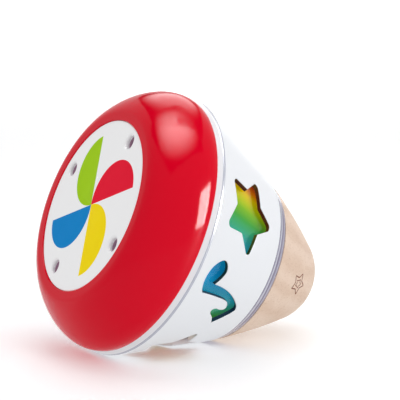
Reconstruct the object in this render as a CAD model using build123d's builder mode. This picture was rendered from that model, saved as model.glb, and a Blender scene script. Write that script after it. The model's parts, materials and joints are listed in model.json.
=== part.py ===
"""A roll-along musical toy: a weighted cone that lies on its side and rolls round in a circle.

The outside is a red cap with a white face disc, a white windowed shell over a clear liner, and a
turned wooden nose.  Inside, a weighted carrier hangs on the axle and stays upright while the
outside rolls round it.  It holds the rainbow drum and a pinned cylinder with its comb, which a
fixed pinion on the axle turns.

Two measures place everything: a station, in mm from the face plane toward the nose, and a radius
from the spin axis.  A clock angle is measured round that axis from the top toward -Y.
"""
import os
from math import acos, cos, pi, radians, sin, sqrt, tan

from build123d import *

os.makedirs("parts", exist_ok=True)

# ---- driving dimensions, in mm and degrees ---------------------------------------------------
CONE_ANGLE = 22.5          # half-angle of the shell, so also the tilt when it lies on its side
FACE_RADIUS = 38.7         # white disc
LIP_RADIUS = 42.4          # flat red lip round the disc
CAP_RADIUS = 58.64         # red cap at its open edge
CAP_STATION = 24.0
SEAM_STATION = 26.4        # edge of the clear liner's flange
SHELL_STATION = 27.4       # wide end of the white shell
SHELL_RADIUS = 59.54
NECK_STATION = 72.6        # narrow end of the white shell
NOSE_STATION = 77.6        # top of the wooden nose
NOSE_RADIUS = 38.2
NOSE_BALL_RADIUS = 24.3    # rounded tip
NOSE_TIP_STATION = 120.2
BALL_STATION = 107.8       # where the nose's side meets its rounded tip

CAP_WALL = 2.4
SHELL_WALL = 2.3
LINER_WALL = 1.8
DRUM_WALL = 1.2
FIXED_GAP = 0.05           # between pieces that are fastened together
PRESS_GAP = 0.01           # radial, where a gear or plate is pressed on its shaft
RUNNING_GAP = 0.05         # radial, in a bearing
DRUM_GAP = 1.0             # between the liner and the drum that turns in it
EDGE_CHAMFER = 0.3

LARGE_CLEARANCE = 1.6      # radius of a hole that an M3 screw passes through
LARGE_PILOT = 1.5          # radius of the hole that it cuts its thread in
SMALL_CLEARANCE = 1.3      # the same for the M2.2 screws inside
SMALL_PILOT = 1.1
HEAD_TAPER = 12            # of a screw head's side
CROSS_WIDTH = 0.5          # recess for the screwdriver
CROSS_DEPTH = 0.6

WINDOW_COUNT = 8           # places for stars and notes by turns
PLAIN_PLACE = 7            # the one that stays closed
WINDOW_CUT = 7.0           # half the depth of a window's cut
STAR_CLOCK = 69.4          # a star's clock angle
WINDOW_STATION = 48.1
SCREW_CLOCK = 24.4         # a face screw's clock angle
SCREW_CIRCLE = 33.0
SCREW_COUNT = 4

AXLE_RADIUS = 2.5
GEAR_MODULE = 0.8
PINION_TEETH = 15
CYLINDER_GEAR_TEETH = 45
GEAR_CENTRES = 24.05       # spin axis to the music cylinder's arbor
PRESSURE_ANGLE = 20.0

UPPER_PLATE_STATION = 33.0
LOWER_PLATE_STATION = 65.0
PLATE_THICKNESS = 2.0

# ---- frame: X to the nose's side, Z up, resting on the shell's side at Z = 0 ------------------
TILT = radians(CONE_ANGLE)
NOSEWARD = Vector(cos(TILT), 0, -sin(TILT))
UPWARD = Vector(sin(TILT), 0, cos(TILT))
SIDEWARD = Vector(0, -1, 0)
FACE_HEIGHT = SHELL_STATION * sin(TILT) + SHELL_RADIUS * cos(TILT)
FACE_X = -48.115           # centres the bounding box on X = 0
FACE_CENTRE = Vector(FACE_X, 0, FACE_HEIGHT)
SPIN = Axis(FACE_CENTRE, NOSEWARD)
PROFILE = Plane(origin=FACE_CENTRE, x_dir=UPWARD, z_dir=(0, 1, 0))   # x = radius, y = station


def station_plane(station, radius=0.0, clock=0.0):
    """Plane across the spin axis, facing the nose; x is up and y is sideways."""
    around = radians(clock)
    centre = FACE_CENTRE + NOSEWARD * station + (UPWARD * cos(around) + SIDEWARD * sin(around)) * radius
    return Plane(origin=centre, x_dir=UPWARD, z_dir=NOSEWARD)


def window_plane(clock):
    """Plane touching the shell at a window's middle, facing out, with y toward the face."""
    around = radians(clock)
    radial = UPWARD * cos(around) + SIDEWARD * sin(around)
    backward = UPWARD * sin(around) - SIDEWARD * cos(around)
    normal = radial * cos(TILT) + NOSEWARD * sin(TILT)
    centre = FACE_CENTRE + NOSEWARD * WINDOW_STATION + radial * shell_radius(WINDOW_STATION)
    return Plane(origin=centre, x_dir=backward, z_dir=normal)


def shell_radius(station, depth=0.0):
    """Radius of the shell's cone at a station, or of the cone that lies a depth below it."""
    return SHELL_RADIUS - (station - SHELL_STATION) * tan(TILT) - depth / cos(TILT)


def keep(part, label):
    """Name a finished piece and write its file."""
    part.part.label = label
    export_step(part.part, f"parts/{label}.step")


def section(corners):
    """Closed face on the profile plane from (radius, station) corners, ready to revolve."""
    with BuildSketch(PROFILE) as outline:
        with BuildLine():
            Polyline(*corners, close=True)
        make_face()
    return outline.sketch


def pan_screws(plane, spots, head_radius, head_height, shank_radius, length):
    """A group of equal pan-head screws on one plane: shanks along its normal, heads behind it."""
    with BuildPart() as screws:
        with BuildSketch(plane):
            with Locations(*spots):
                Circle(shank_radius)
        extrude(amount=length)
        with BuildSketch(plane):
            with Locations(*spots):
                Circle(head_radius)
        extrude(amount=-head_height, taper=HEAD_TAPER)
        with BuildSketch(plane.offset(-head_height)):
            with Locations(*spots):
                Rectangle(head_radius, CROSS_WIDTH)
                Rectangle(CROSS_WIDTH, head_radius)
        extrude(amount=CROSS_DEPTH, mode=Mode.SUBTRACT)
    return screws


def spot(radius, clock):
    """(x, y) of a point on a station plane."""
    return (radius * cos(radians(clock)), radius * sin(radians(clock)))


def clock_spots(radius, count, start):
    """Points spaced evenly on a circle of a station plane."""
    return [spot(radius, start + 360 * i / count) for i in range(count)]


def gear_corners(teeth):
    """Corners of a spur gear's outline, with four points on each involute flank."""
    backlash, steps = 0.12, 3
    pitch_radius = GEAR_MODULE * teeth / 2
    base_radius = pitch_radius * cos(radians(PRESSURE_ANGLE))
    root_radius = pitch_radius - 1.25 * GEAR_MODULE
    tip_radius = pitch_radius + GEAR_MODULE
    start_radius = max(base_radius, root_radius)

    def involute(radius):
        angle = acos(min(1.0, base_radius / radius))
        return tan(angle) - angle

    half_pitch = pi / (2 * teeth) - backlash / (2 * pitch_radius) + involute(pitch_radius)
    radii = [start_radius + (tip_radius - start_radius) * i / steps for i in range(steps + 1)]
    flank = [(radius, half_pitch - involute(radius)) for radius in radii]
    if start_radius > root_radius:
        flank = [(root_radius, flank[0][1])] + flank
    tooth = [(radius, -half) for radius, half in flank] + list(reversed(flank))
    corners = []
    for i in range(teeth):
        middle = 2 * pi * i / teeth
        corners += [(radius * cos(middle + half), radius * sin(middle + half)) for radius, half in tooth]
    return corners


# ---- outside --------------------------------------------------------------------------------
FLOOR_STATION = 2.6        # floor of the cap's pocket, which the face disc lies on
FLOOR_THICKNESS = 2.2
CUP_DEPTH_STATION = 14.0
CUP_RADIUS = 3.0
CUP_WALL = 1.2
CUP_FLOOR = 1.5
HOLE_ROUNDING = 1.4        # soft lips of the disc's four holes
DISC_ROUNDING = 0.35
DISC_GAP = 0.15
SHOULDER_REACH = 6.5       # flat start of the cap's curved side
SHOULDER_PULL = (62.2, 14.5)
HOLLOW_PULLS = ((59.0, 15.3), (47.6, FLOOR_STATION + FLOOR_THICKNESS))
POCKET_RADIUS = FACE_RADIUS + DISC_GAP
face_screw_spots = clock_spots(SCREW_CIRCLE, SCREW_COUNT, SCREW_CLOCK)

with BuildPart() as red_cap:
    with BuildSketch(PROFILE):
        with BuildLine():
            shoulder = Bezier((LIP_RADIUS, 0), (LIP_RADIUS + SHOULDER_REACH, 0), SHOULDER_PULL,
                              (CAP_RADIUS, CAP_STATION))
            inner_edge = (CAP_RADIUS - CAP_WALL, CAP_STATION)
            floor_corner = (LIP_RADIUS, FLOOR_STATION + FLOOR_THICKNESS)
            Line(shoulder @ 1, inner_edge)
            Bezier(inner_edge, *HOLLOW_PULLS, floor_corner)
            Polyline(floor_corner, (0, FLOOR_STATION + FLOOR_THICKNESS), (0, FLOOR_STATION),
                     (POCKET_RADIUS, FLOOR_STATION), (POCKET_RADIUS, EDGE_CHAMFER),
                     (POCKET_RADIUS + EDGE_CHAMFER, 0), (LIP_RADIUS, 0))
        make_face()
    revolve(axis=SPIN)
    with BuildSketch(station_plane(FLOOR_STATION + FLOOR_THICKNESS / 2)):
        with Locations(*face_screw_spots):
            Circle(CUP_RADIUS + CUP_WALL)
    extrude(amount=CUP_DEPTH_STATION - FLOOR_STATION - FLOOR_THICKNESS / 2)
    with BuildSketch(station_plane(FLOOR_STATION)):
        with Locations(*face_screw_spots):
            Circle(CUP_RADIUS)
    extrude(amount=CUP_DEPTH_STATION - CUP_FLOOR - FLOOR_STATION, mode=Mode.SUBTRACT)
    with BuildSketch(station_plane(FLOOR_STATION)):
        with Locations(*face_screw_spots):
            Circle(LARGE_CLEARANCE)
    extrude(amount=CUP_DEPTH_STATION, mode=Mode.SUBTRACT)
keep(red_cap, "red_cap")

DISC_FRONT = 0.4
with BuildPart() as face_disc:
    with BuildSketch(station_plane(DISC_FRONT)):
        Circle(FACE_RADIUS)
        with Locations(*face_screw_spots):
            Circle(CUP_RADIUS, mode=Mode.SUBTRACT)
    extrude(amount=FLOOR_STATION - DISC_FRONT)
    front_edges = face_disc.faces().sort_by(SPIN)[0].edges().sort_by(SortBy.LENGTH)
    fillet(front_edges[:-1], HOLE_ROUNDING)
    rim_edge = face_disc.faces().sort_by(SPIN)[0].edges().sort_by(SortBy.LENGTH)[-1]
    fillet(rim_edge, DISC_ROUNDING)
keep(face_disc, "face_disc")

keep(pan_screws(station_plane(CUP_DEPTH_STATION - CUP_FLOOR), face_screw_spots,
                head_radius=2.75, head_height=2.0, shank_radius=1.45, length=11), "face_screws")

HUB_RADIUS = 7.0
UPPER_HUB_STATION = 30.6
RIM_SCREW_CIRCLE = 49.8
RIM_SCREW_COUNT = 6
RIM_BOSS_WALL = 2.1        # round a face screw's thread
RIM_THREAD_DEPTH = 11.5
SPIGOT_RADIUS = 52.6       # ring that centres the cap on the plate
SPIGOT_LEAD_RADIUS = 54.7
SPIGOT_STATION = 21.2
CAP_SEAT_INNER = CAP_RADIUS - CAP_WALL - EDGE_CHAMFER
CAP_SEAT_OUTER = CAP_RADIUS - 0.15
LINER_RING_STATION = 29.6
LINER_RING_RADIUS = 47.0   # inside of the liner's flange
rim_screw_spots = clock_spots(RIM_SCREW_CIRCLE, RIM_SCREW_COUNT, 0)

with BuildPart() as rim_plate:
    revolve(section([
        (0, CAP_STATION), (SPIGOT_RADIUS, CAP_STATION), (SPIGOT_RADIUS, SPIGOT_STATION),
        (SPIGOT_LEAD_RADIUS, SPIGOT_STATION), (CAP_SEAT_INNER, CAP_STATION),
        (CAP_SEAT_OUTER, CAP_STATION), (SHELL_RADIUS, SEAM_STATION - EDGE_CHAMFER),
        (SHELL_RADIUS - EDGE_CHAMFER, SEAM_STATION), (HUB_RADIUS, SEAM_STATION),
        (HUB_RADIUS, UPPER_HUB_STATION), (0, UPPER_HUB_STATION)]), axis=SPIN)
    with BuildSketch(station_plane(CUP_DEPTH_STATION + FIXED_GAP)):
        with Locations(*face_screw_spots):
            Circle(LARGE_PILOT + RIM_BOSS_WALL)
    extrude(amount=CAP_STATION - CUP_DEPTH_STATION)
    with BuildSketch(station_plane(CUP_DEPTH_STATION)):
        with Locations(*face_screw_spots):
            Circle(LARGE_PILOT)
    extrude(amount=RIM_THREAD_DEPTH, mode=Mode.SUBTRACT)
    with BuildSketch(station_plane(CAP_STATION)):
        with Locations(*rim_screw_spots):
            Circle(LARGE_CLEARANCE)
    extrude(amount=UPPER_HUB_STATION, mode=Mode.SUBTRACT)
    with BuildSketch(station_plane(CAP_STATION)):
        Circle(AXLE_RADIUS + PRESS_GAP)
    extrude(amount=UPPER_HUB_STATION, mode=Mode.SUBTRACT)
keep(rim_plate, "rim_plate")

keep(pan_screws(station_plane(CAP_STATION), rim_screw_spots,
                head_radius=2.6, head_height=1.8, shank_radius=1.3, length=5.2), "rim_screws")

LINER_FLOOR_STATION = 75.4
LOWER_HUB_STATION = 70.6
LINER_PILOT = 1.35         # threads for the rim screws, in the liner's flange
LINER_THREAD_DEPTH = 2.9
LOWER_AXLE_DEPTH = 5.6     # how far the axle's end reaches into the liner's hub
NOSE_SCREW_CIRCLE = 26.0
NOSE_SCREW_COUNT = 4
NOSE_SCREW_CLOCK = 45
liner_depth = SHELL_WALL + FIXED_GAP
nose_screw_spots = clock_spots(NOSE_SCREW_CIRCLE, NOSE_SCREW_COUNT, NOSE_SCREW_CLOCK)

with BuildPart() as clear_liner:
    revolve(section([
        (LINER_RING_RADIUS, SEAM_STATION), (SHELL_RADIUS - EDGE_CHAMFER, SEAM_STATION),
        (SHELL_RADIUS, SEAM_STATION + EDGE_CHAMFER),
        (SHELL_RADIUS, SHELL_STATION), (shell_radius(SHELL_STATION, liner_depth), SHELL_STATION),
        (shell_radius(NECK_STATION + FIXED_GAP, liner_depth), NECK_STATION + FIXED_GAP),
        (shell_radius(NECK_STATION + FIXED_GAP), NECK_STATION + FIXED_GAP),
        (NOSE_RADIUS, NOSE_STATION), (0, NOSE_STATION), (0, LOWER_HUB_STATION),
        (HUB_RADIUS, LOWER_HUB_STATION), (HUB_RADIUS, LINER_FLOOR_STATION),
        (shell_radius(LINER_FLOOR_STATION, liner_depth + LINER_WALL), LINER_FLOOR_STATION),
        (shell_radius(LINER_RING_STATION, liner_depth + LINER_WALL), LINER_RING_STATION),
        (LINER_RING_RADIUS, LINER_RING_STATION)]), axis=SPIN)
    with BuildSketch(station_plane(SEAM_STATION)):
        with Locations(*rim_screw_spots):
            Circle(LINER_PILOT)
    extrude(amount=LINER_THREAD_DEPTH, mode=Mode.SUBTRACT)
    with BuildSketch(station_plane(LINER_FLOOR_STATION)):
        with Locations(*nose_screw_spots):
            Circle(LARGE_CLEARANCE)
    extrude(amount=NOSE_STATION - LINER_FLOOR_STATION, mode=Mode.SUBTRACT)
    with BuildSketch(station_plane(LOWER_HUB_STATION)):
        Circle(AXLE_RADIUS + PRESS_GAP)
    extrude(amount=LOWER_AXLE_DEPTH, mode=Mode.SUBTRACT)
keep(clear_liner, "clear_liner")


def star_outline(tip_radius=19.2, notch_radius=10.5, rounding=2.0):
    """Five-pointed star with rounded tips, one of them toward the nose."""
    turns = [radians(-90 + 36 * i) for i in range(10)]
    reach = [tip_radius, notch_radius] * 5
    corners = [(far * cos(turn), far * sin(turn)) for far, turn in zip(reach, turns)]
    with BuildSketch(mode=Mode.PRIVATE) as star:
        with BuildLine():
            Polyline(*corners, close=True)
        make_face()
        tips = [v for v in star.vertices() if sqrt(v.X ** 2 + v.Y ** 2) > tip_radius - 1]
        fillet(tips, rounding)
    return star.sketch


def note_outline():
    """Quaver: an oval head toward the face, a slanted stem and a curled flag toward the nose."""
    head_top, head_end, notch = (3.2, 13.2), (18.4, 8.6), (7.4, 8.2)
    foot, flag_tip = (-4.6, -15.9), (-13.0, -6.9)
    curl_out, curl_in = (-5.6, -0.3), (-4.2, -8.2)
    with BuildSketch(mode=Mode.PRIVATE) as note:
        with BuildLine():
            Spline(head_top, (9.0, 16.1), (15.2, 14.6), head_end, tangents=[(1, 1), (-0.1, -1)])
            Spline(head_end, (13.6, 4.3), notch, tangents=[(-0.1, -1), (-1, 1)])
            Spline(notch, (4.9, -2.6), (0.4, -11.4), foot)
            Spline(foot, (-8.8, -11.8), flag_tip, tangents=[(-1, 0.6), (-1, 1)])
            Spline(flag_tip, (-9.6, -4.4), curl_out, tangents=[(1, 0.5), (1, 0)])
            Spline(curl_out, (-4.4, -2.2), (-4.9, -5.4), curl_in, tangents=[(1, 0), (1, -1)])
            Spline(curl_in, (-0.4, -6.6), (1.6, 1.4), head_top, tangents=[(1, -1), (0.1, 1)])
        make_face()
    return note.sketch


star_shape = star_outline()
note_shape = note_outline()

with BuildPart() as white_shell:
    shell_start = SHELL_STATION + FIXED_GAP
    revolve(section([
        (shell_radius(shell_start), shell_start), (shell_radius(NECK_STATION), NECK_STATION),
        (shell_radius(NECK_STATION, SHELL_WALL), NECK_STATION),
        (shell_radius(shell_start, SHELL_WALL), shell_start)]), axis=SPIN)
    for place in range(WINDOW_COUNT):
        if place != PLAIN_PLACE:
            with BuildSketch(window_plane(STAR_CLOCK + 360 * place / WINDOW_COUNT)):
                add(star_shape if place % 2 == 0 else note_shape)
            extrude(amount=WINDOW_CUT, both=True, mode=Mode.SUBTRACT)
keep(white_shell, "white_shell")

NOSE_CHAMFER = 0.4
NOSE_WAIST = (30.2, 93.1)  # a point on the nose's side
NOSE_SCREW_DEPTH = 14
nose_top = NOSE_STATION + FIXED_GAP
ball_centre = NOSE_TIP_STATION - NOSE_BALL_RADIUS
ball_edge = (sqrt(NOSE_BALL_RADIUS ** 2 - (BALL_STATION - ball_centre) ** 2), BALL_STATION)

with BuildPart() as wooden_nose:
    with BuildSketch(PROFILE):
        with BuildLine():
            ThreePointArc((NOSE_RADIUS, nose_top + NOSE_CHAMFER), NOSE_WAIST, ball_edge)
            RadiusArc(ball_edge, (0, NOSE_TIP_STATION), -NOSE_BALL_RADIUS)
            Polyline((0, NOSE_TIP_STATION), (0, nose_top), (NOSE_RADIUS - NOSE_CHAMFER, nose_top),
                     (NOSE_RADIUS, nose_top + NOSE_CHAMFER))
        make_face()
    revolve(axis=SPIN)
    with BuildSketch(station_plane(nose_top)):
        with Locations(*nose_screw_spots):
            Circle(LARGE_PILOT)
    extrude(amount=NOSE_SCREW_DEPTH, mode=Mode.SUBTRACT)
keep(wooden_nose, "wooden_nose")

keep(pan_screws(station_plane(LINER_FLOOR_STATION), nose_screw_spots,
                head_radius=2.8, head_height=1.8, shank_radius=1.45, length=NOSE_SCREW_DEPTH), "nose_screws")

# ---- axle -----------------------------------------------------------------------------------
AXLE_END_STATION = 76.1
AXLE_START_STATION = 21.2
CLIP_STATION = 22.6
CLIP_GROOVE = 0.8
GROOVE_DEPTH = 0.5
CLIP_RADIUS = 5.0
CLIP_MOUTH = 3.4

with BuildPart() as axle:
    with BuildSketch(station_plane(AXLE_START_STATION)):
        Circle(AXLE_RADIUS)
    extrude(amount=AXLE_END_STATION - AXLE_START_STATION)
    with BuildSketch(station_plane(CLIP_STATION)):
        Circle(AXLE_RADIUS)
        Circle(AXLE_RADIUS - GROOVE_DEPTH, mode=Mode.SUBTRACT)
    extrude(amount=CLIP_GROOVE, mode=Mode.SUBTRACT)
keep(axle, "axle")

with BuildPart() as axle_clip:
    with BuildSketch(station_plane(CLIP_STATION + FIXED_GAP)):
        Circle(CLIP_RADIUS)
        Circle(AXLE_RADIUS - GROOVE_DEPTH + FIXED_GAP, mode=Mode.SUBTRACT)
        with Locations((CLIP_RADIUS, 0)):
            Rectangle(2 * CLIP_RADIUS, CLIP_MOUTH, mode=Mode.SUBTRACT)
    extrude(amount=CLIP_GROOVE - 2 * FIXED_GAP)
keep(axle_clip, "axle_clip")

PINION_STATION = 38.0
PINION_LENGTH = 5.0
with BuildPart() as drive_pinion:
    with BuildSketch(station_plane(PINION_STATION)):
        with BuildLine():
            Polyline(*gear_corners(PINION_TEETH), close=True)
        make_face()
        Circle(AXLE_RADIUS + PRESS_GAP, mode=Mode.SUBTRACT)
    extrude(amount=PINION_LENGTH)
keep(drive_pinion, "drive_pinion")

# ---- carrier --------------------------------------------------------------------------------
UPPER_PLATE_RADIUS = 48.4
LOWER_PLATE_RADIUS = 34.0
POST_RADIUS = 3.0
BUSH_RADIUS = 4.5
ARBOR_RADIUS = 1.5
ARBOR_BEARING_RADIUS = ARBOR_RADIUS + RUNNING_GAP
BALLAST_HALF_ANGLE = 48
BALLAST_INNER = 13.0
BALLAST_OUTER = LOWER_PLATE_RADIUS - 0.5
BALLAST_LEAN = 2.0         # toward -Y, balances the comb that stands on the +Y side
POST_CIRCLE = 29.0
POST_CLOCK = 80
DRUM_SCREW_CIRCLE = 44.5
DRUM_SCREW_CLOCK = 60
post_spots = [spot(POST_CIRCLE, POST_CLOCK), spot(POST_CIRCLE, -POST_CLOCK)]
ballast_spots = [(-26.0, 14.0), (-26.0, -14.0)]
drum_screw_spots = clock_spots(DRUM_SCREW_CIRCLE, 3, DRUM_SCREW_CLOCK)
plate_gap = LOWER_PLATE_STATION - UPPER_PLATE_STATION - PLATE_THICKNESS


def carrier_plate(station, radius, hole_spots):
    """Round plate with the bush seat, the arbor bearing and the screw holes."""
    with BuildPart() as plate:
        with BuildSketch(station_plane(station)):
            Circle(radius)
            Circle(BUSH_RADIUS + PRESS_GAP, mode=Mode.SUBTRACT)
            with Locations((GEAR_CENTRES, 0)):
                Circle(ARBOR_BEARING_RADIUS, mode=Mode.SUBTRACT)
            with Locations(*hole_spots):
                Circle(SMALL_CLEARANCE, mode=Mode.SUBTRACT)
        extrude(amount=PLATE_THICKNESS)
    return plate


keep(carrier_plate(UPPER_PLATE_STATION, UPPER_PLATE_RADIUS, post_spots + ballast_spots + drum_screw_spots),
     "upper_plate")
keep(carrier_plate(LOWER_PLATE_STATION, LOWER_PLATE_RADIUS, post_spots + ballast_spots), "lower_plate")

with BuildPart() as carrier_posts:
    with BuildSketch(station_plane(UPPER_PLATE_STATION + PLATE_THICKNESS)):
        with Locations(*post_spots):
            Circle(POST_RADIUS)
            Circle(SMALL_PILOT, mode=Mode.SUBTRACT)
    extrude(amount=plate_gap)
keep(carrier_posts, "carrier_posts")

with BuildPart() as ballast_weight:
    with BuildSketch(station_plane(UPPER_PLATE_STATION + PLATE_THICKNESS)):
        with BuildLine():
            middle = 180 - BALLAST_LEAN
            turns = (middle - BALLAST_HALF_ANGLE, middle, middle + BALLAST_HALF_ANGLE)
            inner_arc = ThreePointArc(*[spot(BALLAST_INNER, turn) for turn in turns])
            outer_arc = ThreePointArc(*[spot(BALLAST_OUTER, turn) for turn in reversed(turns)])
            Line(inner_arc @ 1, outer_arc @ 0)
            Line(outer_arc @ 1, inner_arc @ 0)
        make_face()
        with Locations(*ballast_spots):
            Circle(SMALL_PILOT, mode=Mode.SUBTRACT)
    extrude(amount=plate_gap)
keep(ballast_weight, "ballast_weight")

upper_face = station_plane(UPPER_PLATE_STATION)
lower_face = station_plane(LOWER_PLATE_STATION + PLATE_THICKNESS)
lower_face_back = Plane(origin=lower_face.origin, x_dir=lower_face.x_dir, z_dir=-lower_face.z_dir)


def both_ends(spots):
    """Equal small screws into both ends of what stands between the two plates."""
    size = {"head_radius": 2.2, "head_height": 1.5, "shank_radius": 1.05, "length": 9}
    mirrored = [(x, -y) for x, y in spots]
    upper = pan_screws(upper_face, spots, **size)
    lower = pan_screws(lower_face_back, mirrored, **size)
    with BuildPart() as screws:
        add(upper.part)
        add(lower.part)
    return screws


keep(both_ends(post_spots), "post_screws")
keep(both_ends(ballast_spots), "ballast_screws")

BUSH_FLANGE = 1.4
BUSH_FLANGE_RADIUS = 6.5
BUSH_OVERHANG = 2.0        # how far a bush reaches past its plate
bush_bore = AXLE_RADIUS + RUNNING_GAP


def bush(seat, flange, end):
    """Flanged bush round the axle: its seat and its flange's outer face, then its far end."""
    with BuildPart() as turned:
        revolve(section([
            (bush_bore, flange), (BUSH_FLANGE_RADIUS, flange), (BUSH_FLANGE_RADIUS, seat),
            (BUSH_RADIUS, seat), (BUSH_RADIUS, end), (bush_bore, end)]), axis=SPIN)
    return turned


upper_bush_end = UPPER_PLATE_STATION + PLATE_THICKNESS + BUSH_OVERHANG
keep(bush(UPPER_PLATE_STATION, UPPER_PLATE_STATION - BUSH_FLANGE, upper_bush_end), "upper_bush")
lower_seat = LOWER_PLATE_STATION + PLATE_THICKNESS
keep(bush(lower_seat, lower_seat + BUSH_FLANGE, LOWER_PLATE_STATION - BUSH_OVERHANG), "lower_bush")

DRUM_TOP_STATION = 31.5
DRUM_END_STATION = 70.0
DRUM_FLANGE_RADIUS = 41.5
drum_depth = liner_depth + LINER_WALL + DRUM_GAP
with BuildPart() as rainbow_drum:
    revolve(section([
        (DRUM_FLANGE_RADIUS, DRUM_TOP_STATION),
        (shell_radius(DRUM_TOP_STATION, drum_depth), DRUM_TOP_STATION),
        (shell_radius(DRUM_END_STATION, drum_depth), DRUM_END_STATION),
        (shell_radius(DRUM_END_STATION, drum_depth + DRUM_WALL), DRUM_END_STATION),
        (shell_radius(UPPER_PLATE_STATION, drum_depth + DRUM_WALL), UPPER_PLATE_STATION),
        (DRUM_FLANGE_RADIUS, UPPER_PLATE_STATION)]), axis=SPIN)
    with BuildSketch(station_plane(DRUM_TOP_STATION)):
        with Locations(*drum_screw_spots):
            Circle(SMALL_CLEARANCE)
    extrude(amount=UPPER_PLATE_STATION - DRUM_TOP_STATION, mode=Mode.SUBTRACT)
keep(rainbow_drum, "rainbow_drum")

keep(pan_screws(station_plane(DRUM_TOP_STATION), drum_screw_spots,
                head_radius=2.2, head_height=1.3, shank_radius=1.05, length=5), "drum_screws")

# ---- musical movement -------------------------------------------------------------------------
CYLINDER_RADIUS = 10.0
CYLINDER_STATION = 44.5
CYLINDER_LENGTH = 17.0
PIN_RADIUS = 0.35
PIN_HEIGHT = 0.6
COMB_TEETH = 18
COMB_PITCH = 0.92
COMB_THICKNESS = 0.8
COMB_TIP = 11.0            # from the arbor to the comb's tips
COMB_ROOT = 18.0
COMB_BACK = 24.0
COMB_TOOTH_WIDTH = 0.6
COMB_SCREW_HOLE = 1.2
SPOKE_HOLE_RADIUS = 3.6
SPOKE_HOLE_CIRCLE = 10.5
GEAR_LENGTH = 4.0
GEAR_INSET = 0.5           # from the pinion's end to the gear's
PIN_ROOT = 0.5             # how deep a pin sits in the cylinder
PIN_STEP = 137.5           # turn from one tooth's pins to the next tooth's
PIN_START = 20.0
comb_middle = CYLINDER_STATION + CYLINDER_LENGTH / 2
comb_plane = Plane(origin=FACE_CENTRE + NOSEWARD * comb_middle + UPWARD * GEAR_CENTRES,
                   x_dir=NOSEWARD, z_dir=UPWARD)
comb_screw_spots = [(-5.0, 21.0), (5.0, 21.0)]

with BuildPart() as cylinder_gear:
    with BuildSketch(station_plane(PINION_STATION + GEAR_INSET, GEAR_CENTRES)):
        with BuildLine():
            Polyline(*gear_corners(CYLINDER_GEAR_TEETH), close=True)
        make_face()
        Circle(ARBOR_RADIUS + PRESS_GAP, mode=Mode.SUBTRACT)
        with PolarLocations(SPOKE_HOLE_CIRCLE, 5):
            Circle(SPOKE_HOLE_RADIUS, mode=Mode.SUBTRACT)
    extrude(amount=GEAR_LENGTH)
keep(cylinder_gear, "cylinder_gear")

with BuildPart() as cylinder_arbor:
    with BuildSketch(station_plane(UPPER_PLATE_STATION, GEAR_CENTRES)):
        Circle(ARBOR_RADIUS)
    extrude(amount=plate_gap + 2 * PLATE_THICKNESS)
keep(cylinder_arbor, "cylinder_arbor")

with BuildPart() as pin_cylinder:
    with BuildSketch(station_plane(CYLINDER_STATION, GEAR_CENTRES)):
        Circle(CYLINDER_RADIUS)
        Circle(ARBOR_RADIUS + PRESS_GAP, mode=Mode.SUBTRACT)
    extrude(amount=CYLINDER_LENGTH)
    for row in range(COMB_TEETH):
        for beat in range(2):
            turn = radians(PIN_STEP * row + 180 * beat + PIN_START)
            along = comb_middle + (row - (COMB_TEETH - 1) / 2) * COMB_PITCH
            outward = UPWARD * cos(turn) + SIDEWARD * sin(turn)
            foot = (FACE_CENTRE + NOSEWARD * along + UPWARD * GEAR_CENTRES
                    + outward * (CYLINDER_RADIUS - PIN_ROOT))
            with BuildSketch(Plane(origin=foot, x_dir=NOSEWARD, z_dir=outward)):
                Circle(PIN_RADIUS)
            extrude(amount=PIN_HEIGHT + PIN_ROOT)
keep(pin_cylinder, "pin_cylinder")

with BuildPart() as comb:
    with BuildSketch(comb_plane):
        with Locations((0, (COMB_ROOT + COMB_BACK) / 2)):
            Rectangle(CYLINDER_LENGTH, COMB_BACK - COMB_ROOT)
        with Locations((0, (COMB_TIP + COMB_ROOT) / 2)):
            with GridLocations(COMB_PITCH, 0, COMB_TEETH, 1):
                Rectangle(COMB_TOOTH_WIDTH, COMB_ROOT - COMB_TIP)
        with Locations(*comb_screw_spots):
            Circle(COMB_SCREW_HOLE, mode=Mode.SUBTRACT)
    extrude(amount=COMB_THICKNESS)
keep(comb, "comb")

BRIDGE_HEIGHT = 6.0
with BuildPart() as comb_bridge:
    with BuildSketch(comb_plane):
        block_end = LOWER_PLATE_STATION - comb_middle
        block_start = -CYLINDER_LENGTH / 2
        with Locations(((block_start + block_end) / 2, (COMB_ROOT + COMB_BACK) / 2)):
            Rectangle(block_end - block_start, COMB_BACK - COMB_ROOT)
        with Locations(*comb_screw_spots):
            Circle(SMALL_PILOT, mode=Mode.SUBTRACT)
    extrude(amount=-BRIDGE_HEIGHT)
keep(comb_bridge, "comb_bridge")

comb_top = Plane(origin=comb_plane.origin + UPWARD * COMB_THICKNESS, x_dir=NOSEWARD, z_dir=-UPWARD)
keep(pan_screws(comb_top, [(x, -y) for x, y in comb_screw_spots],
                head_radius=1.9, head_height=1.2, shank_radius=1.0, length=4.8), "comb_screws")
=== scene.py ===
import json
from math import atan2, cos, degrees, pi, radians, sin, tan

import bpy
from mathutils import Matrix, Vector
from mathutils.geometry import delaunay_2d_cdt

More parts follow.
